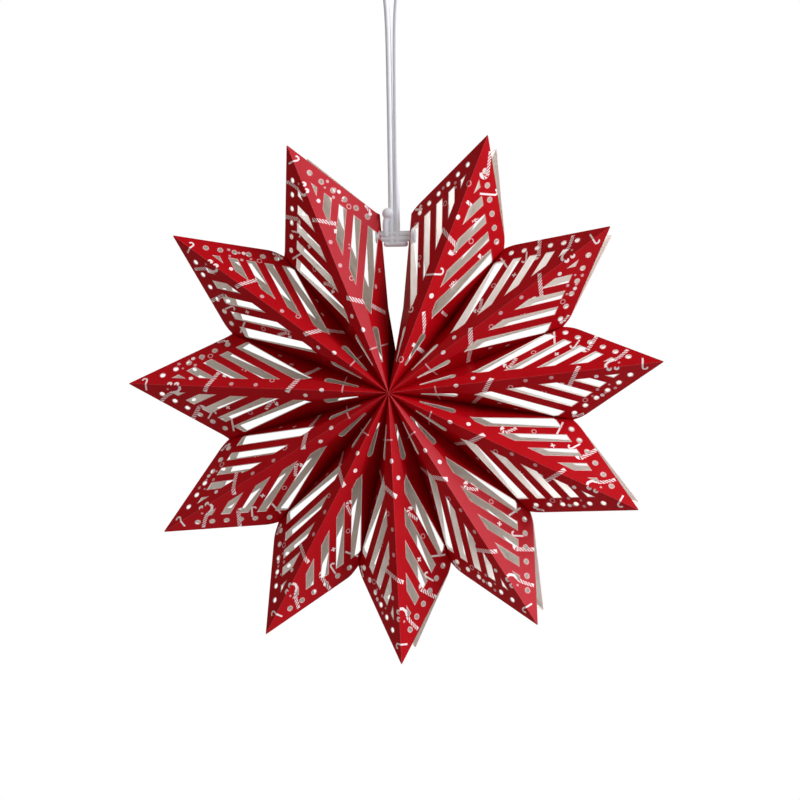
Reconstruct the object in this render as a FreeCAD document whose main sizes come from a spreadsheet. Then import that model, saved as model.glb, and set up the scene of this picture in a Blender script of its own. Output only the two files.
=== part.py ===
import FreeCAD, Part
import math
import os
from FreeCAD import Matrix, Placement, Rotation, Vector

# A hanging star of eleven folded card pockets, fanned round an axis that runs from front to back.
# The origin is where the hanging loop bears on its hook. +Z is up, +X is to the right as seen
# from the front, and the front looks along -Y. The star's own axis lies hang_height below.

doc = FreeCAD.newDocument("hanging_star")
sheet = doc.addObject("Spreadsheet::Sheet", "sizes")

# Driving dimensions, in millimetres and degrees
SIZES = {
    "pocket_count": 11,
    "reach": 150.0,              # star axis to the tip of a ridge
    "card": 0.35,                # thickness of the card
    "glue_line": 0.1,            # room between two glued pockets
    "gap_opening": 10.2,         # angle of the open gap at the top
    "edge_slope": 37.0,          # outer edge of a kite against its ridge
    "tip_round": 0.7,
    "slot_count": 5,             # slanted slots on each facet, the outermost cut short
    "slot_slope": 30.0,
    "hole_count": 6,             # punched holes along each outer edge
    "hang_height": 242.0,        # star axis up to the bearing point of the loop
    "hang_offset": 2.6,          # the star hangs this far to the right of its loop
    "loop_neck": 21.6,           # crown of the loop down to where its strands part
    "loop_belly": 10.6,          # crown of the loop down to its widest place
    "belly_half_width": 6.5,
    "crown_half_width": 4.8,
    "neck_half_width": 2.3,
    "cord_width": 3.2,
    "cord_room": 0.5,            # all round the cord in its holes
    "tie_half_span": 10.1,       # middle of the gap to each stopper
    "stopper_width": 7.4,
    "stopper_depth": 2.2,
    "strand_half_width": 1.65,   # half the distance between the strands where they touch
    "touch_drop": 80.6,          # crown of the loop down to where they begin to touch
    "touch_lean": 1.9,           # there they hang this far to the left of the star's axis
    "hitch_lean": 1.1,           # and where they meet the hitch
    "knot_width": 6.2,
}

# The sheet is die-cut to one pattern, whatever its size, so these are shares of the reach.
SHARES = {
    "half_depth": 0.1747,        # ridges lie this far in front of and behind the mid plane
    "seam_reach": 0.6733,        # star axis to the outer end of a glued seam
    "crease_reach": 0.32,        # soft crease beside the ridge: how far out it runs
    "crease_offset": 0.0533,     # and how far from the ridge it ends
    "corner_inset": 0.012,       # kite corner, short of the mid plane
    "corner_round": 0.0333,
    "slot_width": 0.0307,
    "slot_step": 0.12,           # along the ridge
    "slot_first": 0.21,          # tip to the start of the first slot
    "slot_margin": 0.0367,       # card left beside the ridge at the first slot
    "margin_growth": 0.004,      # more at each slot further in
    "fold_slot_extra": 0.0167,   # more width at the innermost slot, which lies on a fold
    "fold_slot_blunt": 0.0347,   # how much of its pointed end is taken off
    "border": 0.0693,            # card left inside the outer edge
    "hole_width": 0.018,
    "hole_step": 0.0547,
    "hole_first": 0.1267,        # tip to the first hole, along the edge
    "hole_inset": 0.0373,        # outer edge to the hole centres
    "window_start": 0.12,        # tapered window near the axis, from the axis
    "window_end": 0.2533,
    "window_gap": 0.0053,        # soft crease to the window
    "window_narrow": 0.0107,
    "window_wide": 0.0367,
    "window_round": 0.0133,
    "tie_height": 0.5873,        # star axis up to the holes that take the cord
    "hitch_top": 0.6933,         # star axis up to the top of the hitch
}
for row, (name, value) in enumerate({**SIZES, **SHARES}.items(), start=1):
    sheet.set(f"A{row}", name)
    sheet.set(f"B{row}", f"{value:g}")
    sheet.setAlias(f"B{row}", name)
doc.recompute()


def size(name):
    """A driving dimension, read back from the sheet; shares are turned into lengths."""
    value = float(sheet.get(name))
    return value * float(sheet.get("reach")) if name in SHARES else value


pocket_count = int(size("pocket_count"))

# The fan is opened by hand, so ridges, seams and tips lie a little off an even star.
# Degrees anticlockwise from their even places, and shares of the reach beyond the even reach.
RIDGE_DRIFT = [1.6, 1.5, 3.5, 5.1, 4.6, 2.8, 1.3, 1.7, 1.1, -0.6, -0.3]
SEAM_DRIFT = [0.1, 2.9, 1.9, 5.1, 5.3, 3.6, 2.3, 1.1, 1.9, 0.0, -0.4, 0.1]
REACH_DRIFT = [
    -0.011, 0.006, -0.009, 0.002, 0.011, -0.002, 0.001, -0.002, 0.0, 0.001, 0.002,
]

FRONT = -1
BACK = 1
LEFT = -1
RIGHT = 1
OVERSHOOT = 5.0                  # by which a cutting body clears what it cuts
BLOCK = 500.0                    # side of a block larger than any pocket
CUT_ABOVE = 1.5                  # a cut through the card starts this far outside it
CUT_BELOW = 2.6                  # and ends this far inside


def drift(values, index):
    """The hand-made unevenness at one place, and none past the end of the list."""
    return values[index] if index < len(values) else 0.0


def seam_angle(index):
    """Angle of a seam, anticlockwise from straight up; seams 0 and the last bound the gap."""
    pitch = (360.0 - size("gap_opening")) / pocket_count
    return size("gap_opening") / 2 + pitch * index + drift(SEAM_DRIFT, index)


def ridge_angle(index):
    """Angle of a pocket's ridges, anticlockwise from straight up."""
    pitch = (360.0 - size("gap_opening")) / pocket_count
    return size("gap_opening") / 2 + pitch * (index + 0.5) + drift(RIDGE_DRIFT, index)


# Flat faces as (outward normal, distance from the origin)

def plane_through(a, b, c, inside):
    """The plane through three points, its normal pointing away from a point inside."""
    normal = (b - a).cross(c - a).normalize()
    if normal.dot(inside - a) > 0:
        normal = -normal
    return normal, normal.dot(a)


def moved_in(plane, depth):
    """The same plane, moved inward."""
    normal, distance = plane
    return normal, distance - depth


def beyond(plane):
    """A block that fills the outer side of a plane."""
    normal, distance = plane
    corner = Vector(-BLOCK / 2, -BLOCK / 2, 0)
    turn = Placement(normal * distance, Rotation(Vector(0, 0, 1), normal))
    block = Part.makeBox(BLOCK, BLOCK, BLOCK, corner)
    block.Placement = turn.multiply(block.Placement)
    return block


class Facet:
    """One of the four facets of a pocket, in the pocket's own frame.

    There Z runs along the ridges and X across the pocket. In the flat card of the facet
    u runs from the axis along the ridge, and s runs across from the ridge.
    """

    def __init__(self, side, face, half_angle, reach):
        self.reach = reach
        self.outward = Vector(side, 0, 0)
        half_width = size("seam_reach") * math.sin(half_angle)
        opening = math.atan2(half_width, size("half_depth"))
        self.across = Vector(side * math.sin(opening), -face * math.cos(opening), 0)
        self.normal = Vector(side * math.cos(opening), face * math.sin(opening), 0)
        self.width = math.hypot(half_width, size("half_depth"))
        self.start = Vector(0, face * size("half_depth"), 0)
        self.crease_end = self.at(size("crease_reach"), size("crease_offset"))
        seam = Vector(side * math.sin(half_angle), 0, math.cos(half_angle))
        self.valley_point = seam * size("crease_reach")
        self.seam_end = seam * size("seam_reach")

    def at(self, u, s):
        """The point of the unfolded facet at u along the ridge and s across."""
        return self.start + Vector(0, 0, u) + self.across * s

    def edge_corner(self):
        """The kite corner, as u and s, where the outer edge turns in to the seam."""
        s = self.width - size("corner_inset")
        return self.reach - s / math.tan(math.radians(size("edge_slope"))), s

    def crease_frame(self):
        """Directions along the soft crease, across the steep panel beyond it, and out of it."""
        along = (self.crease_end - self.start).normalize()
        leaning = self.valley_point - self.start
        across = (leaning - along * leaning.dot(along)).normalize()
        out = along.cross(across)
        return along, across, out if out.dot(self.outward) > 0 else -out


def side_form(side, half_angle, inset, length):
    """One side of a pocket as a filled form, each wall moved in by the inset."""
    facet = Facet(side, FRONT, half_angle, length)
    inside = Vector(0, 0, size("seam_reach"))
    seam_normal = Vector(side * math.cos(half_angle), 0, -math.sin(half_angle))
    flat = (facet.normal, facet.normal.dot(facet.start))
    steep = plane_through(facet.start, facet.crease_end, facet.valley_point, inside)
    strip = plane_through(facet.crease_end, facet.seam_end, facet.valley_point, inside)
    seam = (seam_normal, -size("glue_line") / 2)
    form = Part.makeBox(BLOCK, size("half_depth"), length)
    form.translate(Vector(min(0, side * BLOCK), -size("half_depth"), 0))
    valley = beyond(moved_in(steep, inset)).common(beyond(moved_in(strip, inset)))
    form = form.cut([beyond(moved_in(flat, inset)), beyond(moved_in(seam, inset)), valley])
    return form.fuse(form.mirror(Vector(0, 0, 0), Vector(0, 1, 0))).removeSplitter()


def outline_prism(left, right):
    """What the kites keep: their outline seen from the front, as a deep prism."""
    depth = size("half_depth") + OVERSHOOT
    points = [Vector(0, -depth, left.reach)]
    for facet, order in ((left, 1), (right, -1)):
        u, s = facet.edge_corner()
        corner = facet.at(u, s)
        end = facet.seam_end
        outside = end + facet.outward * OVERSHOOT - Vector(0, 0, OVERSHOOT)
        run = [corner, end, outside, Vector(outside.x, 0, -OVERSHOOT)]
        points += [Vector(p.x, -depth, p.z) for p in run[::order]]
    prism = Part.Face(Part.makePolygon(points + points[:1])).extrude(Vector(0, 2 * depth, 0))
    rounds = {0: size("tip_round"), 1: size("corner_round"), len(points) - 1: size("corner_round")}
    for index, radius in rounds.items():
        for edge in prism.Edges:
            spot = edge.CenterOfMass
            if math.hypot(spot.x - points[index].x, spot.z - points[index].z) < 1e-6:
                prism = prism.makeFillet(radius, [edge])
                break
    return prism


def prism_on(points, normal):
    """A cutting prism through the card, from a closed outline that lies on it."""
    face = Part.Face(Part.makePolygon(points + points[:1]))
    face.translate(normal * CUT_ABOVE)
    return face.extrude(-normal * (CUT_ABOVE + CUT_BELOW))


def slot_cutters(facet):
    """Slanted slots: level beside the ridge, cut parallel to the outer edge at the border.

    The outermost is cut down to a small triangle. The innermost lies along the fold of the
    side strip, where it is wider and has a blunt end.
    """
    slope = math.radians(size("slot_slope"))
    edge = math.radians(size("edge_slope"))
    run = size("slot_width") / math.sin(slope)
    last = int(size("slot_count")) - 1

    def along_slot(u, s, distance):
        return u + distance * math.cos(slope), s + distance * math.sin(slope)

    def room_from(u, s):
        """Distance along the slot from a point to the border inside the outer edge."""
        inside_edge = (facet.reach - u) * math.sin(edge) - s * math.cos(edge)
        return (inside_edge - size("border")) / math.sin(slope + edge)

    cutters = []
    for number in range(last + 1):
        s = size("slot_margin") + size("margin_growth") * number
        inner = facet.reach - size("slot_first") - size("slot_step") * number
        outer = inner + run
        if number == last:
            blunt = size("fold_slot_extra") / math.sin(slope)
            blunt_start = along_slot(inner - blunt, s, size("fold_slot_blunt"))
            outline = [
                (inner + run / 3, s),
                blunt_start,
                along_slot(inner - blunt, s, room_from(inner - blunt, s)),
            ]
        else:
            outline = [(inner, s), along_slot(inner, s, room_from(inner, s))]
        if room_from(outer, s) > 0:
            outline += [along_slot(outer, s, room_from(outer, s)), (outer, s)]
        else:
            border_start = (size("border") + s * math.cos(edge)) / math.sin(edge)
            outline += [(facet.reach - border_start, s)]
        cutters.append(prism_on([facet.at(*point) for point in outline], facet.normal))
    return cutters


def hole_cutters(facet):
    """Round holes in a row along the outer edge."""
    edge = math.radians(size("edge_slope"))
    inset = size("hole_inset")
    cutters = []
    for number in range(int(size("hole_count"))):
        along = size("hole_first") + size("hole_step") * number
        u = facet.reach - along * math.cos(edge) - inset * math.sin(edge)
        s = along * math.sin(edge) - inset * math.cos(edge)
        spot = facet.at(u, s) + facet.normal * CUT_ABOVE
        cutters.append(
            Part.makeCylinder(size("hole_width") / 2, CUT_ABOVE + CUT_BELOW, spot, -facet.normal)
        )
    return cutters


def window_cutter(facet):
    """The tapered window on the steep panel beside the soft crease, its outer end rounded."""
    along, across, out = facet.crease_frame()

    def spot(distance, offset):
        return facet.start + along * distance + across * offset

    near = size("window_gap")
    outline = [
        spot(size("window_start"), near),
        spot(size("window_end"), near),
        spot(size("window_end"), near + size("window_wide")),
        spot(size("window_start"), near + size("window_narrow")),
    ]
    prism = prism_on(outline, out)
    for corner in outline[1:3]:
        for edge in prism.Edges:
            middle = edge.CenterOfMass - corner
            if (middle - out * middle.dot(out)).Length < 1e-6:
                prism = prism.makeFillet(size("window_round"), [edge])
                break
    return prism


def cord_hole_cutter(side, half_angle):
    """The long hole in a free side panel, for two strands one above the other."""
    radius = size("cord_width") / 2 + size("cord_room")
    seam = Vector(side * math.sin(half_angle), 0, math.cos(half_angle))
    across = Vector(side * math.cos(half_angle), 0, -math.sin(half_angle))
    start = seam * size("tie_height") - across * OVERSHOOT
    ends = [start + seam * size("cord_width") / 2 * way for way in (-1, 1)]
    rounds = [Part.makeCylinder(radius, 2 * OVERSHOOT, end, across) for end in ends]
    sides = [Vector(0, radius, 0), Vector(0, -radius, 0)]
    corners = [ends[0] + sides[0], ends[1] + sides[0], ends[1] + sides[1], ends[0] + sides[1]]
    middle = Part.Face(Part.makePolygon(corners + corners[:1])).extrude(across * 2 * OVERSHOOT)
    return rounds[0].fuse([rounds[1], middle]).removeSplitter()


def pocket_shape(index):
    """One pocket: a folded card tube, closed along the axis and open between its kites."""
    reach = size("reach") * (1 + drift(REACH_DRIFT, index))
    ridge = ridge_angle(index)
    half_angles = {
        RIGHT: math.radians(ridge - seam_angle(index)),
        LEFT: math.radians(seam_angle(index + 1) - ridge),
    }
    forms = {}
    for inset in (0, size("card")):
        length = reach + OVERSHOOT + inset
        sides = [side_form(side, angle, inset, length) for side, angle in half_angles.items()]
        forms[inset] = sides[0].fuse(sides[1]).removeSplitter()
    walls = forms[0].cut(forms[size("card")])
    facets = {
        (side, face): Facet(side, face, angle, reach)
        for side, angle in half_angles.items()
        for face in (FRONT, BACK)
    }
    card = walls.common(outline_prism(facets[LEFT, FRONT], facets[RIGHT, FRONT]))
    cutters = []
    for facet in facets.values():
        cutters += slot_cutters(facet)
        cutters += hole_cutters(facet)
        cutters.append(window_cutter(facet))
    if index == 0:
        cutters.append(cord_hole_cutter(RIGHT, half_angles[RIGHT]))
    if index == pocket_count - 1:
        cutters.append(cord_hole_cutter(LEFT, half_angles[LEFT]))
    return card.cut(cutters).Solids[0]


star_axis = Vector(size("hang_offset"), 0, -size("hang_height"))

pockets = []
for index in range(pocket_count):
    pocket = doc.addObject("Part::Feature", f"pocket_{index + 1:02d}")
    pocket.Label = f"pocket_{index + 1:02d}"
    pocket.Shape = pocket_shape(index)
    pocket.Placement = Placement(star_axis, Rotation(Vector(0, 1, 0), -ridge_angle(index)))
    pockets.append(pocket)

# The route of the hanging cord, as X and Z from the star axis: up one strand, round the hook
# and down the other. Its points are chosen by hand.
crown = size("hang_height") + size("cord_width") / 2
LOOP = [
    (size("crown_half_width"), crown),
    (size("belly_half_width"), crown - size("loop_belly")),
    (size("neck_half_width"), crown - size("loop_neck")),
]
STRANDS = [
    (size("hitch_lean"), size("hitch_top")),
    (size("touch_lean"), crown - size("touch_drop")),
]
CORD_ROUTE = [(-lean - size("strand_half_width"), z) for lean, z in STRANDS]
CORD_ROUTE += [(-size("hang_offset") - x, z) for x, z in LOOP[::-1]]
CORD_ROUTE += [(-size("hang_offset") + x, z) for x, z in LOOP]
CORD_ROUTE += [(-lean + size("strand_half_width"), z) for lean, z in STRANDS[::-1]]
ARC_SHARE = 0.45
TIE_SQUEEZE = 0.9                # strands pulled tight press into each other by this share
WRAP_SHARE = 0.68                # how much of the gap the third turn of the tie fills

# The bight: X and Y in cord widths, Z as a share of the height from the tie to the hitch's top
BIGHT = [(-1.72, -0.16, 0.0), (-1.84, -0.56, 0.42), (-1.4, -0.44, 0.8)]


def rounded_route(points):
    """Straight runs joined by tangent arcs, as large as the shorter run beside each allows."""
    edges = []
    last = points[0]
    for before, corner, after in zip(points, points[1:], points[2:]):
        inward = (corner - before).normalize()
        onward = (after - corner).normalize()
        tangent = ARC_SHARE * min((corner - before).Length, (after - corner).Length)
        turn = inward.getAngle(onward)
        radius = tangent / math.tan(turn / 2)
        print(f"cord turn {math.degrees(turn):.0f} degrees, radius {radius:.1f} mm")
        first = corner - inward * tangent
        second = corner + onward * tangent
        bisector = (onward - inward).normalize()
        centre = corner + bisector * (radius / math.cos(turn / 2))
        middle = centre - bisector * radius
        edges.append(Part.LineSegment(last, first).toShape())
        edges.append(Part.Arc(first, middle, second).toShape())
        last = second
    edges.append(Part.LineSegment(last, points[-1]).toShape())
    return Part.Wire(edges)


def cord_along(name, points):
    """A cord swept along rounded runs between points, its diameter bound to the sheet."""
    spine = doc.addObject("Part::Feature", f"{name}_route")
    spine.Shape = rounded_route(points)
    profile = doc.addObject("Part::Circle", f"{name}_profile")
    profile.setExpression("Radius", "sizes.cord_width / 2")
    profile.Placement = Placement(points[0], Rotation(Vector(0, 0, 1), points[1] - points[0]))
    cord = doc.addObject("Part::Sweep", name)
    cord.Sections = [profile]
    cord.Spine = (spine, [f"Edge{number + 1}" for number in range(len(spine.Shape.Edges))])
    cord.Solid = True
    return cord, spine


route_points = [Vector(x, 0, z) for x, z in CORD_ROUTE]
hanging_cord, route = cord_along("hanging_cord", route_points)
hanging_cord.Label = "hanging_cord"
hanging_cord.Placement = Placement(star_axis, Rotation())

# The hitch ties the two end pockets together: two strands through both panels with a flat stopper
# at each end, the feet of the hanging strands, a third turn below, and a knot on the left.


def cord_length(name, start, end, width="cord_width"):
    """A straight length between two points, its diameter bound to the sheet."""
    piece = doc.addObject("Part::Cylinder", name)
    piece.setExpression("Radius", f"sizes.{width} / 2")
    piece.Height = (end - start).Length
    piece.Placement = Placement(start, Rotation(Vector(0, 0, 1), end - start))
    return piece


tie = size("tie_height")
span = size("tie_half_span")
step = TIE_SQUEEZE * size("cord_width") / 2
hitch_parts = []
for name, height in (("upper", tie + step), ("lower", tie - step)):
    ends = [Vector(-span, 0, height), Vector(span, 0, height)]
    hitch_parts.append(cord_length(f"tie_{name}", ends[0], ends[1]))
for name, head, onward in (
    ("left", route_points[0], route_points[1]),
    ("right", route_points[-1], route_points[-2]),
):
    down = (head - onward).normalize()
    foot = head + down * (size("hitch_top") - tie + 3 * step)
    hitch_parts.append(cord_length(f"strand_{name}", foot, head))

# Behind each panel a flat stopper holds the two strands
depth = Vector(size("stopper_depth") / 2, 0, 0)
for name, side in (("left", LEFT), ("right", RIGHT)):
    middle = Vector(side * span, 0, tie)
    hitch_parts.append(cord_length(f"stopper_{name}", middle - depth, middle + depth, "stopper_width"))

# A third turn lies under the two strands, between the panels
wrap_half = size("tie_height") * math.tan(math.radians(size("gap_opening") / 2)) * WRAP_SHARE
wrap_ends = [Vector(side * wrap_half, 0, tie - 3 * step) for side in (LEFT, RIGHT)]
hitch_parts.append(cord_length("wrap", *wrap_ends))

# The bight runs up from the tie, on the left, into the knot beside the strands
bight_points = [
    Vector(x * size("cord_width"), y * size("cord_width"), tie + z * (size("hitch_top") - tie))
    for x, y, z in BIGHT
]
bight, bight_route = cord_along("bight", bight_points)
hitch_parts.append(bight)
for name, spot, width in (
    ("wrap_left", wrap_ends[0], "cord_width"),
    ("wrap_right", wrap_ends[1], "cord_width"),
    ("knot", bight_points[-1], "knot_width"),
):
    ball = doc.addObject("Part::Sphere", name)
    ball.setExpression("Radius", f"sizes.{width} / 2")
    ball.Placement = Placement(spot, Rotation())
    hitch_parts.append(ball)
cord_hitch = doc.addObject("Part::MultiFuse", "cord_hitch")
cord_hitch.Label = "cord_hitch"
cord_hitch.Shapes = hitch_parts
cord_hitch.Placement = Placement(star_axis, Rotation())

doc.recompute()

NODES = pockets + [hanging_cord, cord_hitch]
for item in doc.Objects:
    if "Invalid" in item.State or "Error" in item.State:
        raise ValueError(f"{item.Name} did not recompute")
for node in NODES:
    if node.Shape.isNull() or not node.Shape.isValid():
        raise ValueError(f"{node.Label} has no valid shape")
    if len(node.Shape.Solids) != 1:
        raise ValueError(f"{node.Label} is {len(node.Shape.Solids)} solids")

section = math.pi * size("cord_width") ** 2 / 4
print(f"cord length {route.Shape.Length:.1f} mm")
volume_share = hanging_cord.Shape.Volume / section / route.Shape.Length
print(f"cord volume against section by length {volume_share:.4f}")

os.makedirs("parts", exist_ok=True)
for node in NODES:
    node.Shape.exportStep(f"parts/{node.Label}.step")
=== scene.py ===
import math

import bpy
from mathutils import Matrix, Vector
from mathutils.geometry import delaunay_2d_cdt


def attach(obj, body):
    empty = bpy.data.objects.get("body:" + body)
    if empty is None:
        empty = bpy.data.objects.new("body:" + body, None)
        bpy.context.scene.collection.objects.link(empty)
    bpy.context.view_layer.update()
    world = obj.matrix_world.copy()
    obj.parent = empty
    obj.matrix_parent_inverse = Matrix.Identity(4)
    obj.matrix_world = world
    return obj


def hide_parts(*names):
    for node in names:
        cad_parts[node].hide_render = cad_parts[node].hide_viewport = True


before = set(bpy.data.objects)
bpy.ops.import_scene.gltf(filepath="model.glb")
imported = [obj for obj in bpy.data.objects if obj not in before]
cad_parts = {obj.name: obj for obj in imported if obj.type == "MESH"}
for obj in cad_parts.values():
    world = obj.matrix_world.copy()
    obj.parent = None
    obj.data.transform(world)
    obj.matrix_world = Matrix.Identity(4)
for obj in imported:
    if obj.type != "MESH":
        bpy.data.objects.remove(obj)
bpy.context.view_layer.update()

MM = 0.001

# Star frame: X right, Y away from the viewer, Z up, millimetres from the star's own axis.
# The row's origin is where the hanging loop bears on its hook.
HANG_HEIGHT = 242.0
HANG_OFFSET = 2.6
AXIS = Vector((HANG_OFFSET, 0, -HANG_HEIGHT))

# Sizes of the folded card, in millimetres and degrees
REACH = 150.0
HALF_DEPTH = 26.2
SEAM_REACH = 101.0
CARD = 0.35
CREASE_REACH = 48.0
CREASE_OFFSET = 8.0
EDGE_SLOPE = math.radians(37.0)
CORNER_INSET = 1.8
CORNER_ROUND = 3.4
CORNER_SHARE = 0.9
CORNER_STEPS = 5
TIP_BLUNT = 0.35
TIP_ROUND = 0.9
SLOT_COUNT = 5
SLOT_SLOPE = math.radians(30.0)
SLOT_WIDTH = 4.6
SLOT_STEP = 18.0
SLOT_FIRST = 31.5
SLOT_MARGIN = 5.5
MARGIN_GROWTH = 0.6
FOLD_SLOT_EXTRA = 2.5
FOLD_SLOT_BLUNT = 5.2
BORDER = 10.4
HOLE_COUNT = 6
HOLE_WIDTH = 2.7
HOLE_STEP = 8.2
HOLE_FIRST = 19.0
HOLE_INSET = 5.6
HOLE_CORNERS = 18
# Widths of the pale band printed round the cuts: partly the bare card of the cut edge, partly painted
# highlight.
CUT_LINE = 0.22
HOLE_LINE = 0.4
WINDOW = dict(start=18.0, end=38.0, gap=0.8, narrow=1.6, wide=5.5, round=2.0)
ROUND_STEPS = 5

# Angles of ridges and seams, anticlockwise from straight up as seen from the front
RIDGES = [22.6, 54.3, 88.1, 121.5, 152.8, 182.8, 213.1, 245.3, 276.5, 306.6, 338.7]
SEAMS = [5.2, 39.8, 70.6, 105.6, 137.6, 167.7, 198.2, 228.8, 261.4, 291.3, 322.7, 355.0]
REACHES = [-1.6, 0.9, -1.4, 0.3, 1.7, -0.3, 0.2, -0.3, 0.0, 0.2, 0.3]

RIGHT = 1
LEFT = -1

# Where the card's UV has the back and the side panels, clear of the front
BACK_SHIFT = 300
SIDE_PANEL_UV = [(0, 200), (50, 200), (0, 250)]


# Materials

def new_material(name):
    material = bpy.data.materials.new(name)
    material.use_nodes = True
    tree = material.node_tree
    return material, tree, tree.nodes["Principled BSDF"]


def noise(tree, place, scale, detail):
    texture = tree.nodes.new("ShaderNodeTexNoise")
    texture.inputs["Scale"].default_value = scale
    texture.inputs["Detail"].default_value = detail
    tree.links.new(place, texture.inputs["Vector"])
    return texture.outputs[0]


def toned(tree, factor, color, darkest, lightest):
    """A color that varies between a darker and a lighter tone of itself."""
    shade = tree.nodes.new("ShaderNodeMix")
    shade.data_type = "RGBA"
    shade.inputs["A"].default_value = (*[c * darkest for c in color], 1)
    shade.inputs["B"].default_value = (*[min(1, c * lightest) for c in color], 1)
    tree.links.new(factor, shade.inputs["Factor"])
    return shade.outputs["Result"]


def bump(tree, height, strength, distance):
    relief = tree.nodes.new("ShaderNodeBump")
    relief.inputs["Strength"].default_value = strength
    relief.inputs["Distance"].default_value = distance
    tree.links.new(height, relief.inputs["Height"])
    return relief


def ink_material(name, color, worn, rough, shine):
    """Printed, coated card. The flat card's UV gives millimetres along and across the ridge."""
    material, tree, shader = new_material(name)
    nodes, links = tree.nodes, tree.links
    uv_map = nodes.new("ShaderNodeUVMap")
    uv_map.uv_map = "card"
    uv = uv_map.outputs[0]
    split = nodes.new("ShaderNodeSeparateXYZ")
    links.new(uv, split.inputs[0])
    across = nodes.new("ShaderNodeMath")
    across.operation = "ABSOLUTE"
    links.new(split.outputs[1], across.inputs[0])

    # The ink is worn in broken patches along the front ridge
    fibre = noise(tree, uv, 0.9, 5.0)
    ragged = nodes.new("ShaderNodeMath")
    ragged.operation = "MULTIPLY_ADD"
    ragged.inputs[1].default_value = 0.9
    links.new(fibre, ragged.inputs[0])
    links.new(across.outputs[0], ragged.inputs[2])
    crack = nodes.new("ShaderNodeMapRange")
    crack.inputs["From Min"].default_value = 0.42
    crack.inputs["From Max"].default_value = 0.72
    crack.inputs["To Min"].default_value = 0.3
    crack.inputs["To Max"].default_value = 0.0
    links.new(ragged.outputs[0], crack.inputs["Value"])
    wear = nodes.new("ShaderNodeMix")
    wear.data_type = "RGBA"
    wear.inputs["B"].default_value = (*worn, 1)
    links.new(crack.outputs[0], wear.inputs["Factor"])
    links.new(toned(tree, noise(tree, uv, 0.08, 3.0), color, 0.9, 1.1), wear.inputs["A"])
    links.new(wear.outputs["Result"], shader.inputs["Base Color"])

    # The card bows softly, with a fine grain over that
    bow = bump(tree, noise(tree, uv, 0.035, 1.0), 0.25, 0.004)
    grain = bump(tree, fibre, 0.10, 0.0001)
    links.new(bow.outputs[0], grain.inputs["Normal"])
    links.new(grain.outputs[0], shader.inputs["Normal"])
    shader.inputs["Roughness"].default_value = rough
    shader.inputs["Specular IOR Level"].default_value = shine
    shader.inputs["Specular Tint"].default_value = (1.0, 0.85, 1.0, 1)
    return material


def plain_material(name, color, rough):
    """Uncoated card or cord, with a little tone."""
    material, tree, shader = new_material(name)
    place = tree.nodes.new("ShaderNodeTexCoord").outputs["Object"]
    shade = toned(tree, noise(tree, place, 260.0, 4.0), color, 0.94, 1.05)
    tree.links.new(shade, shader.inputs["Base Color"])
    shader.inputs["Roughness"].default_value = rough
    shader.inputs["Specular IOR Level"].default_value = 0.3
    return material


WORN_RED = (0.60, 0.16, 0.17)
COATED = 0.42
UNCOATED = 0.85

RED = ink_material("red_ink", (0.43, 0.0012, 0.005), WORN_RED, COATED, 0.12)
# A darker copy of the red ink, with no sheen, for the pocket side panels seen edge-on in the valleys
# and the gap: painted shade on the same red card.
MATTE_SHADED_RED = ink_material("red_side_panel_painted_shade", (0.30, 0.0012, 0.004), WORN_RED, 0.9, 0.0)
WHITE = ink_material("white_print", (0.88, 0.76, 0.76), (0.8, 0.7, 0.7), COATED, 0.10)
PINK = ink_material("pale_print", (0.66, 0.36, 0.38), (0.8, 0.6, 0.6), COATED, 0.10)
INNER = plain_material("bare_card", (0.93, 0.87, 0.81), UNCOATED)
EDGE = plain_material("cut_edge", (0.80, 0.46, 0.45), UNCOATED)
# The thickness adds 5 to a face's slot inside the pocket and 4 along a cut, up to the last slot.
CARD_MATERIALS = [RED, MATTE_SHADED_RED, WHITE, PINK, EDGE, INNER]
RED_SLOT, MATTE_SHADED_SLOT, WHITE_SLOT, PINK_SLOT, EDGE_SLOT, INNER_SLOT = range(6)


# The flat card: u runs along the ridge from the axis, s across it, millimetres

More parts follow.
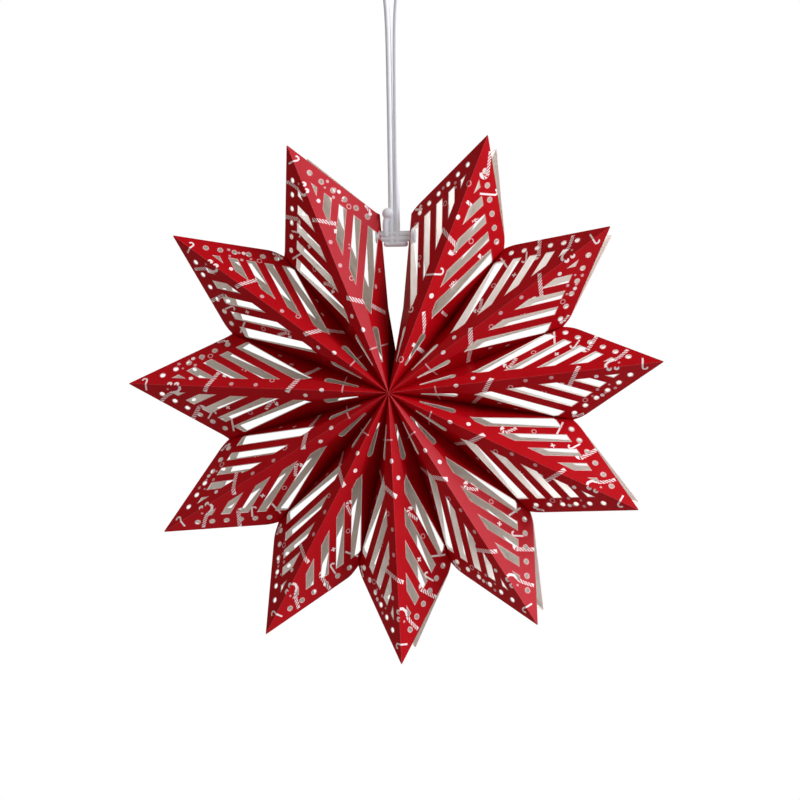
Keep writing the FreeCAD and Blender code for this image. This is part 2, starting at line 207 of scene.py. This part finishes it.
class Side:
    """One side of a pocket: its flat panels and where they lie once folded."""

    def __init__(self, side, half_angle, reach):
        self.side = side
        self.reach = reach
        half_width = SEAM_REACH * math.sin(half_angle)
        opening = math.atan2(half_width, HALF_DEPTH)
        self.across = Vector((side * math.sin(opening), math.cos(opening), 0))
        self.width = math.hypot(half_width, HALF_DEPTH)
        seam = Vector((side * math.sin(half_angle), 0, math.cos(half_angle)))
        self.start = Vector((0, -HALF_DEPTH, 0))
        self.valley = seam * CREASE_REACH
        self.seam_end = seam * SEAM_REACH
        self.crease_end = self.on_kite(CREASE_REACH, CREASE_OFFSET)
        along = (self.crease_end - self.start).normalized()
        reach_out = self.valley - self.start
        run = reach_out.dot(along)
        rise = (reach_out - along * run).length
        turn = math.atan2(CREASE_OFFSET, CREASE_REACH)
        self.flat_turn = turn
        self.flat_start = Vector((0, 0))
        self.flat_crease = Vector((CREASE_REACH, CREASE_OFFSET))
        self.flat_valley = Vector((
            run * math.cos(turn) - rise * math.sin(turn),
            run * math.sin(turn) + rise * math.cos(turn),
        ))
        self.flat_seam = Vector((SEAM_REACH * math.cos(half_angle), self.width))

    def on_kite(self, u, s):
        return self.start + Vector((0, 0, u)) + self.across * s

    def kite_corner(self):
        s = self.width - CORNER_INSET
        return Vector((self.reach - s / math.tan(EDGE_SLOPE), s))

    def kite(self):
        """Outline of the kite, from the axis round by the tip, its corners rounded."""
        tip = Vector((self.reach, 0))
        corner = self.kite_corner()
        inward = (tip - corner).normalized()
        onward = (self.flat_seam - corner).normalized()
        rounded = []
        edge = (self.flat_seam - corner).length
        first = corner + inward * CORNER_ROUND
        last = corner + onward * min(CORNER_ROUND, CORNER_SHARE * edge)
        for step in range(CORNER_STEPS + 1):
            t = step / CORNER_STEPS
            rounded.append(first * (1 - t) ** 2 + corner * 2 * t * (1 - t) + last * t ** 2)
        blunt = tip - Vector((TIP_BLUNT, 0))
        near_tip = tip + (corner - tip).normalized() * TIP_ROUND
        return [self.flat_start, blunt, near_tip] + rounded + [self.flat_seam, self.flat_crease]

    def steep(self):
        return [self.flat_start, self.flat_crease, self.flat_valley]

    def strip(self):
        return [self.flat_crease, self.flat_seam, self.flat_valley]

    def folded(self, point, panel):
        """Where a point of the flat card lies once folded, with the pocket's front towards -Y."""
        if panel == "kite":
            return self.on_kite(point.x, point.y)
        flat = self.steep() if panel == "steep" else self.strip()
        solid = {
            "steep": [self.start, self.crease_end, self.valley],
            "strip": [self.crease_end, self.seam_end, self.valley],
        }[panel]
        a, b, c = flat
        whole = (b - a).cross(c - a)
        wb = (point - a).cross(c - a) / whole
        wc = (b - a).cross(point - a) / whole
        return solid[0] * (1 - wb - wc) + solid[1] * wb + solid[2] * wc

    def slots(self):
        """Outlines of the slanted slots, as in the folded part."""
        run = SLOT_WIDTH / math.sin(SLOT_SLOPE)
        along = Vector((math.cos(SLOT_SLOPE), math.sin(SLOT_SLOPE)))

        def room(point):
            inside = (self.reach - point.x) * math.sin(EDGE_SLOPE) - point.y * math.cos(EDGE_SLOPE)
            return (inside - BORDER) / math.sin(SLOT_SLOPE + EDGE_SLOPE)

        outlines = []
        for number in range(SLOT_COUNT):
            s = SLOT_MARGIN + MARGIN_GROWTH * number
            inner = Vector((self.reach - SLOT_FIRST - SLOT_STEP * number, s))
            outer = inner + Vector((run, 0))
            if number == SLOT_COUNT - 1:
                blunt = inner - Vector((FOLD_SLOT_EXTRA / math.sin(SLOT_SLOPE), 0))
                outline = [inner + Vector((run / 3, 0)), blunt + along * FOLD_SLOT_BLUNT]
                outline.append(blunt + along * room(blunt))
            else:
                outline = [inner, inner + along * room(inner)]
            if room(outer) > 0:
                outline += [outer + along * room(outer), outer]
            else:
                base = (BORDER + s * math.cos(EDGE_SLOPE)) / math.sin(EDGE_SLOPE)
                outline.append(Vector((self.reach - base, s)))
            outlines.append(outline)
        return outlines

    def holes(self):
        outlines = []
        for number in range(HOLE_COUNT):
            along = HOLE_FIRST + HOLE_STEP * number
            centre = Vector((
                self.reach - along * math.cos(EDGE_SLOPE) - HOLE_INSET * math.sin(EDGE_SLOPE),
                along * math.sin(EDGE_SLOPE) - HOLE_INSET * math.cos(EDGE_SLOPE),
            ))
            outlines.append(circle(centre, HOLE_WIDTH / 2, HOLE_CORNERS))
        return outlines

    def window(self):
        along = Vector((math.cos(self.flat_turn), math.sin(self.flat_turn)))
        out = Vector((-along.y, along.x))
        w = WINDOW

        def spot(distance, offset):
            return along * distance + out * (w["gap"] + offset)

        outline = [spot(w["start"], 0)]
        for step in range(2 * ROUND_STEPS + 1):
            turned = math.pi / 2 * (step / ROUND_STEPS - 1)
            centre = w["round"] if step <= ROUND_STEPS else w["wide"] - w["round"]
            outline.append(spot(
                w["end"] - w["round"] + w["round"] * math.cos(turned),
                centre + w["round"] * math.sin(turned),
            ))
        outline.append(spot(w["start"], w["narrow"]))
        return outline


def circle(centre, radius, count):
    return [
        Vector((
            centre[0] + radius * math.cos(2 * math.pi * k / count),
            centre[1] + radius * math.sin(2 * math.pi * k / count),
        ))
        for k in range(count)
    ]


def widened(outline, margin):
    """A convex outline moved out by a margin on every side."""
    area = sum(a.cross(b) for a, b in zip(outline, outline[1:] + outline[:1]))
    margin = math.copysign(margin, area)
    moved = []
    for before, corner, after in zip(outline[-1:] + outline[:-1], outline, outline[1:] + outline[:1]):
        inward = (corner - before).normalized()
        onward = (after - corner).normalized()
        out = Vector((inward.y + onward.y, -inward.x - onward.x))
        moved.append(corner + out * margin / (1 + inward.dot(onward)))
    return moved


# Printed motifs: each gives (outline, slot of the ink) pairs, later ones over earlier ones

# Shares of a stick's width or of its pitch, and the plain length at each end
STRIPE_SLANT = 0.55
STRIPE_SHARE = 0.46
STRIPE_REACH = 0.49
STRIPE_END = 0.15
CROOK_TURN = math.pi * 1.05
CROOK_STEPS = 6
CROSS_LINE = 0.8
LEAF_TURN = 0.9


def dot(u, s, radius, ink=WHITE_SLOT):
    return [(circle((u, s), radius, 12), ink)]


def ring(u, s, radius, width):
    return [
        (circle((u, s), radius, 14), PINK_SLOT),
        (circle((u, s), radius - width, 10), RED_SLOT),
    ]


def bar(a, b, width):
    """A straight bar between two points."""
    out = (b - a).normalized()
    out = Vector((-out.y, out.x)) * width / 2
    return [a - out, b - out, b + out, a + out]


def along_path(points, distance):
    """The point at a distance along a path, and the direction across the path there."""
    for a, b in zip(points, points[1:]):
        length = (b - a).length
        if distance <= length or b is points[-1]:
            way = (b - a) / length
            return a + way * distance, Vector((-way.y, way.x))
        distance -= length


def cane(points, width=2.3, pitch=1.9, ink=WHITE_SLOT, striped=True):
    """A stick with thin slanted stripes along a path, as on old-fashioned sweets."""
    points = [Vector(p) for p in points]
    total = sum((b - a).length for a, b in zip(points, points[1:]))
    shapes = [(bar(a, b, width), ink) for a, b in zip(points, points[1:])]
    shapes += [(circle(joint, width / 2, 10), ink) for joint in points[1:-1]]
    if striped:
        slant = STRIPE_SLANT * width
        line = pitch * STRIPE_SHARE
        room = total - 2 * slant - line - 2 * STRIPE_END
        for k in range(max(0, int(room / pitch) + 1)):
            start = slant + pitch * k + STRIPE_END
            corners = []
            for sign in (1, -1):
                for distance in (start + sign * slant, start + line + sign * slant):
                    spot, out = along_path(points, distance)
                    corners.append(spot + out * sign * width * STRIPE_REACH)
            shapes.append((in_turn(corners), RED_SLOT))
    return shapes


def in_turn(corners):
    """The corners of a patch in the order in which they lie round its middle."""
    middle = sum(corners, Vector((0, 0))) / len(corners)
    return sorted(corners, key=lambda p: math.atan2(p.y - middle.y, p.x - middle.x))


def crook(foot, turn_start, radius, side, width=2.3, pitch=1.9, striped=True):
    """A walking-stick shape: straight from the foot, then bent over to one side."""
    foot = Vector(foot)
    turn_start = Vector(turn_start)
    way = (turn_start - foot).normalized()
    out = Vector((-way.y, way.x)) * side
    centre = turn_start + out * radius
    points = [foot, turn_start]
    for k in range(1, CROOK_STEPS + 1):
        angle = CROOK_TURN * k / CROOK_STEPS
        points.append(centre - out * radius * math.cos(angle) + way * radius * math.sin(angle))
    return cane(points, width, pitch, striped=striped)


def cross(u, s, size, ink=WHITE_SLOT):
    return [
        (bar(Vector((u - size, s - size)), Vector((u + size, s + size)), CROSS_LINE), ink),
        (bar(Vector((u - size, s + size)), Vector((u + size, s - size)), CROSS_LINE), ink),
    ]


def sweet(u, s, radius, angle):
    """A wrapped round sweet."""
    way = Vector((math.cos(angle), math.sin(angle)))
    out = Vector((-way.y, way.x))
    centre = Vector((u, s))
    shapes = []
    for sign in (-1, 1):
        tail = centre + way * sign * radius * 0.8
        end = centre + way * sign * radius * 2.0
        shapes.append(([tail, end + out * radius * 0.8, end - out * radius * 0.8], PINK_SLOT))
    shapes.append((circle((u, s), radius, 12), WHITE_SLOT))
    for k in range(3):
        a = angle + 2 * math.pi * k / 3
        shapes.append((
            [
                centre,
                centre + Vector((math.cos(a), math.sin(a))) * radius * 0.95,
                centre + Vector((math.cos(a + LEAF_TURN), math.sin(a + LEAF_TURN))) * radius * 0.95,
            ],
            RED_SLOT,
        ))
    return shapes


def common_print():
    """The printed pattern of one front panel, ridge in the middle."""
    shapes = []
    shapes += dot(37.5, 0.3, 1.4)
    shapes += dot(47.0, -4.0, 1.3)
    shapes += dot(75.3, 2.5, 1.25, PINK_SLOT)
    shapes += dot(89.3, 2.5, 1.25, PINK_SLOT)
    shapes += dot(113.3, 5.4, 1.25)
    shapes += dot(58.3, 21.5, 1.3, PINK_SLOT)
    shapes += ring(66.6, 6.1, 1.45, 0.5)
    shapes += ring(105.6, 22.6, 1.6, 0.5)
    shapes += ring(80.6, -18.8, 1.5, 0.5)
    shapes += dot(83.0, 12.4, 0.6, PINK_SLOT)
    shapes += dot(85.0, 13.2, 0.5, PINK_SLOT)
    shapes += cane([(43.0, 25.5), (50.8, 9.6), (57.4, -2.2)], 2.6, 1.9)
    shapes += crook((104.8, -3.9), (98.6, 9.6), 2.3, 1, 2.3, 1.9)
    shapes += cane([(25.9, 22.0), (25.9, -1.2)], 0.8, ink=PINK_SLOT, striped=False)
    shapes += cane([(92.4, -23.8), (92.5, -33.6)], 1.1, striped=False)
    shapes += crook((115.8, -26.0), (110.2, -16.2), 1.7, 1, 2.3, 1.9)
    shapes += crook((106.2, -24.6), (103.2, -19.4), 1.2, 1, 1.0, striped=False)
    shapes += cross(93.2, -15.4, 1.0)
    shapes += crook((71.2, -15.6), (67.4, -10.2), 1.7, 1, 1.9, 1.7)
    # A bow over the crook of a stick, across the ridge
    for u in (120.6, 124.6):
        shapes += dot(u, 0.9, 1.5)
        shapes += dot(u + 0.2, -0.1, 0.75, RED_SLOT)
    shapes += cane([(119.0, -0.6), (119.0, -2.6), (120.6, -4.6), (123.4, -5.4)], 1.5, striped=False)
    shapes += cane([(123.6, -5.4), (127.0, -7.6), (131.6, -12.2)], 2.0, 1.8)
    shapes += crook((138.9, -4.6), (138.3, 2.6), 1.3, -1, 1.0, striped=False)
    shapes += dot(109.8, 20.0, 0.7, PINK_SLOT)
    shapes += dot(115.2, 20.2, 1.2)
    shapes += dot(113.0, 15.4, 1.0, PINK_SLOT)
    shapes += dot(117.2, 18.4, 0.9, PINK_SLOT)
    shapes += dot(122.6, 15.8, 1.0, PINK_SLOT)
    shapes += dot(119.6, 12.6, 0.7, PINK_SLOT)
    shapes += dot(98.2, 34.0, 1.1)
    shapes += cane([(99.4, 34.4), (103.8, 33.2)], 1.7, 1.5)
    shapes += cross(66.4, 28.4, 1.0, PINK_SLOT)
    shapes += dot(126.2, -3.2, 0.7, PINK_SLOT)
    return shapes


def last_print():
    """The pattern where the printed sheet falls differently, on the last pocket."""
    shapes = []
    shapes += crook((94.2, -7.6), (88.8, 6.2), 2.7, 1, 2.5, 1.9)
    shapes += crook((67.6, -6.6), (70.6, 3.9), 1.7, -1, 1.0, striped=False)
    shapes += crook((119.4, 9.2), (122.2, 19.0), 1.4, -1, 1.1, striped=False)
    shapes += crook((142.6, 5.6), (131.2, 9.4), 2.3, 1, 2.0, 1.8)
    shapes += cane([(37.2, 8.6), (48.4, 2.6)], 2.2, 1.8)
    shapes += cane([(26.2, 22.0), (29.6, 3.4)], 2.2, striped=False)
    shapes += cane([(50.2, 24.6), (51.8, 16.4)], 1.6, 1.6)
    shapes += cane([(86.4, 29.4), (88.4, 23.4)], 2.2, 1.8)
    shapes += crook((45.3, -12.6), (45.5, -7.6), 1.5, -1, 0.8, striped=False)
    shapes += dot(58.0, 3.6, 1.5)
    shapes += dot(103.0, 1.2, 1.4)
    shapes += ring(19.6, -0.2, 1.9, 0.6)
    shapes += ring(122.0, -0.2, 1.8, 0.5)
    shapes += ring(93.8, 15.2, 1.7, 0.5)
    shapes += ring(108.0, -13.2, 1.6, 0.5)
    shapes += ring(91.8, -30.6, 1.6, 0.5)
    shapes += ring(75.4, -17.2, 1.4, 0.5)
    shapes += sweet(68.6, 14.2, 1.3, 0.6)
    shapes += sweet(105.2, 12.8, 1.1, 0.9)
    shapes += cane([(111.6, 6.8), (112.8, 3.0)], 1.9, 1.3)
    shapes += cane([(70.4, -14.2), (72.4, -16.6)], 1.5, 1.3)
    shapes += dot(118.0, -9.6, 0.9, PINK_SLOT)
    shapes += dot(120.4, -11.4, 1.0, PINK_SLOT)
    shapes += dot(115.8, -19.8, 1.1, PINK_SLOT)
    shapes += cane([(101.4, -30.6), (99.8, -36.4)], 1.3, striped=False)
    shapes += cross(102.4, -33.0, 0.9)
    return shapes


COMMON = common_print()
LAST = last_print()

# How delaunay_2d_cdt is asked: only triangles within the outlines, corners this near are one
WITHIN_OUTLINES = 1
TOLERANCE = 1e-4


def flat_sheet(right, left, motifs):
    """The front card as flat triangles: points, triangles and (panel, side, ink) of each."""
    outlines = []
    roles = []

    def add(outline, role, side=1):
        outline = [Vector((p[0], p[1] * side)) for p in outline]
        area = sum(a.cross(b) for a, b in zip(outline, outline[1:] + outline[:1]))
        outlines.append(outline if area > 0 else outline[::-1])
        roles.append(role)

    for part in (right, left):
        add(part.kite(), ("panel", "kite", part.side), part.side)
        add(part.steep(), ("panel", "steep", part.side), part.side)
        add(part.strip(), ("panel", "strip", part.side), part.side)
        # A thin pale band printed round each slot, window and hole stands in for its cut edge: partly
        # the bare core of the card, partly a painted highlight where light catches the edge.
        cuts = [(outline, CUT_LINE) for outline in part.slots() + [part.window()]]
        cuts += [(outline, HOLE_LINE) for outline in part.holes()]
        for outline, line in cuts:
            add(widened(outline, line), ("ink", EDGE_SLOT), part.side)
            add(outline, ("cut",), part.side)
    for outline, ink in motifs:
        add(outline, ("ink", ink))
    points = []
    loops = []
    for outline in outlines:
        loops.append(list(range(len(points), len(points) + len(outline))))
        points += outline
    flat, _, triangles, _, _, origins = delaunay_2d_cdt(
        points, [], loops, WITHIN_OUTLINES, TOLERANCE, True
    )
    kept = []
    for triangle, origin in zip(triangles, origins):
        found = [roles[k] for k in origin]
        panels = [role for role in found if role[0] == "panel"]
        if not panels or any(role[0] == "cut" for role in found):
            continue
        inks = [k for k in origin if roles[k][0] == "ink"]
        ink = roles[max(inks)][1] if inks else RED_SLOT
        kept.append((triangle, panels[0][1], panels[0][2], ink))
    return flat, kept


def fold_sheet(index):
    """One pocket as a folded sheet of card with its print, in the pocket's own frame."""
    reach = REACH + REACHES[index]
    right = Side(RIGHT, math.radians(RIDGES[index] - SEAMS[index]), reach)
    left = Side(LEFT, math.radians(SEAMS[index + 1] - RIDGES[index]), reach)
    sides = {RIGHT: right, LEFT: left}
    flat, kept = flat_sheet(right, left, LAST if index == len(RIDGES) - 1 else COMMON)
    points = []
    faces = []
    inks = []
    flats = []
    index_of = {}

    def vertex(point):
        key = tuple(round(value, 3) for value in point)
        if key not in index_of:
            index_of[key] = len(points)
            points.append(point)
        return index_of[key]

    for back in (False, True):
        for triangle, panel, side, ink in kept:
            corners = []
            spots = []
            for number in triangle:
                spot = Vector((flat[number][0], flat[number][1]))
                solid = sides[side].folded(Vector((spot.x, spot.y * side)), panel)
                if back:
                    solid = Vector((solid.x, -solid.y, solid.z))
                corners.append(vertex(solid))
                spots.append((spot.x, spot.y + (BACK_SHIFT if back else 0)))
            if len(set(corners)) < 3:
                continue
            if not back:
                corners.reverse()
                spots.reverse()
            faces.append(corners)
            flats.append(spots)
            inks.append(ink)
    for part in (right, left):
        corners = [
            vertex(part.start), vertex(part.valley), vertex(Vector((0, HALF_DEPTH, 0)))
        ]
        spots = list(SIDE_PANEL_UV)
        if part.side == RIGHT:
            corners.reverse()
            spots.reverse()
        faces.append(corners)
        flats.append(spots)
        # The side panels take the darker red: painted shade.
        inks.append(MATTE_SHADED_SLOT)
    return points, faces, flats, inks


def build_pocket(index):
    points, faces, flats, inks = fold_sheet(index)
    name = f"pocket_{index + 1:02d}"
    mesh = bpy.data.meshes.new(name + "_card")
    mesh.from_pydata([p * MM for p in points], [], faces)
    for material in CARD_MATERIALS:
        mesh.materials.append(material)
    layer = mesh.uv_layers.new(name="card")
    for polygon, spots, ink in zip(mesh.polygons, flats, inks):
        polygon.material_index = ink
        for loop, spot in zip(polygon.loop_indices, spots):
            layer.data[loop].uv = spot
    turn = Matrix.Rotation(-math.radians(RIDGES[index]), 4, "Y")
    mesh.transform(Matrix.Translation(AXIS * MM) @ turn)
    card = bpy.data.objects.new(name + "_card", mesh)
    bpy.context.collection.objects.link(card)
    shell = card.modifiers.new("thickness", "SOLIDIFY")
    shell.thickness = CARD * MM
    shell.offset = -1
    shell.use_even_offset = True
    shell.use_rim = True
    shell.material_offset = INNER_SLOT
    shell.material_offset_rim = EDGE_SLOT
    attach(card, "root")
    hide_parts(name)


for number in range(len(RIDGES)):
    build_pocket(number)


# The cord

CORD_WIDTH = 3.2
CORD_ROUTE = [
    (-2.75, 104.0), (-3.55, 163.0), (-4.9, 222.0), (-9.1, 233.0), (-7.4, 243.6),
    (2.2, 243.6), (3.9, 233.0), (-0.3, 222.0), (-0.25, 163.0), (0.55, 104.0),
]
CORD = plain_material("cord_yarn", (0.84, 0.86, 0.92), 0.7)


def cord_curve(name, route, width):
    curve = bpy.data.curves.new(name, "CURVE")
    curve.dimensions = "3D"
    spline = curve.splines.new("NURBS")
    spline.points.add(len(route) - 1)
    for point, spot in zip(spline.points, route):
        place = (AXIS + Vector(spot)) * MM
        point.co = (*place, 1)
    spline.order_u = 3
    spline.use_endpoint_u = True
    spline.resolution_u = 12
    curve.bevel_depth = width / 2 * MM
    curve.bevel_resolution = 5
    curve.use_fill_caps = True
    curve.materials.append(CORD)
    thing = bpy.data.objects.new(name, curve)
    bpy.context.collection.objects.link(thing)
    return thing


route = [(x, 0, z) for x, z in CORD_ROUTE]
cord = cord_curve("cord_strands", route, CORD_WIDTH)
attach(cord, "root")
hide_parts("hanging_cord")
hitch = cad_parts["cord_hitch"]
hitch.data.materials.clear()
hitch.data.materials.append(CORD)


# Camera, as read from the photo's perspective: degrees, and millimetres from the star's axis

YAW = math.radians(-8.875)
PITCH = math.radians(1.001)
DISTANCE = 848.64
ASIDE = -2.33
RAISE = 4.37
FOCAL_PIXELS = 1500
IMAGE_PIXELS = 800
SENSOR = 36

look = Matrix.Rotation(PITCH, 3, "X") @ Matrix.Rotation(YAW, 3, "Z")
spot = look.transposed() @ Vector((-ASIDE, -DISTANCE, -RAISE))
axes = look.transposed() @ Matrix(((1, 0, 0), (0, 0, -1), (0, 1, 0)))
camera_data = bpy.data.cameras.new("camera")
camera_data.sensor_width = SENSOR
camera_data.lens = SENSOR * FOCAL_PIXELS / IMAGE_PIXELS
camera_data.clip_start = 0.05
camera_data.clip_end = 20
camera = bpy.data.objects.new("camera", camera_data)
camera.matrix_world = Matrix.Translation((spot + AXIS) * MM) @ axes.to_4x4()
bpy.context.collection.objects.link(camera)
bpy.context.scene.camera = camera


# Stage and light, in metres

FLOOR_SIZE = 6.0
FLOOR_HEIGHT = -0.60
LIGHT_AIM = Vector((0.0, 0.0, -0.24))


def white_for_camera(tree, white, rest, output):
    """End a node tree: white where the camera looks, the other shader for all other light."""
    white.inputs["Color"].default_value = (1, 1, 1, 1)
    white.inputs["Strength"].default_value = 1.0
    path = tree.nodes.new("ShaderNodeLightPath")
    mix = tree.nodes.new("ShaderNodeMixShader")
    tree.links.new(path.outputs["Is Camera Ray"], mix.inputs[0])
    tree.links.new(rest.outputs[0], mix.inputs[1])
    tree.links.new(white.outputs[0], mix.inputs[2])
    tree.links.new(mix.outputs[0], output.inputs["Surface"])


def white_stage():
    material = bpy.data.materials.new("stage_white")
    material.use_nodes = True
    nodes = material.node_tree.nodes
    nodes.clear()
    paper = nodes.new("ShaderNodeBsdfDiffuse")
    paper.inputs["Color"].default_value = (0.7, 0.7, 0.7, 1)
    white = nodes.new("ShaderNodeEmission")
    output = nodes.new("ShaderNodeOutputMaterial")
    white_for_camera(material.node_tree, white, paper, output)
    return material


def soft_light(name, place, size, power, color):
    data = bpy.data.lights.new(name, "AREA")
    data.color = color
    data.shape = "DISK"
    data.size = size
    data.energy = power
    light = bpy.data.objects.new(name, data)
    light.location = place
    away = Vector(place) - LIGHT_AIM
    light.rotation_euler = away.to_track_quat("Z", "Y").to_euler()
    bpy.context.collection.objects.link(light)


bpy.ops.mesh.primitive_plane_add(size=FLOOR_SIZE, location=(0, 0, FLOOR_HEIGHT))
floor = bpy.context.object
floor.name = "floor"
floor.data.materials.append(white_stage())

world = bpy.data.worlds.new("world")
world.use_nodes = True
world_nodes = world.node_tree.nodes
world_nodes.clear()
fill = world_nodes.new("ShaderNodeBackground")
fill.inputs["Color"].default_value = (1.0, 0.94, 0.88, 1)
fill.inputs["Strength"].default_value = 0.23
seen = world_nodes.new("ShaderNodeBackground")
white_for_camera(world.node_tree, seen, fill, world_nodes.new("ShaderNodeOutputWorld"))
bpy.context.scene.world = world

soft_light("key", (1.01, -0.36, 0.27), 0.75, 16.5, (0.94, 0.95, 1.0))
soft_light("front", (-0.75, -0.9, 0.85), 1.6, 4.5, (1.0, 0.93, 0.85))

bpy.context.scene.view_settings.view_transform = "Standard"
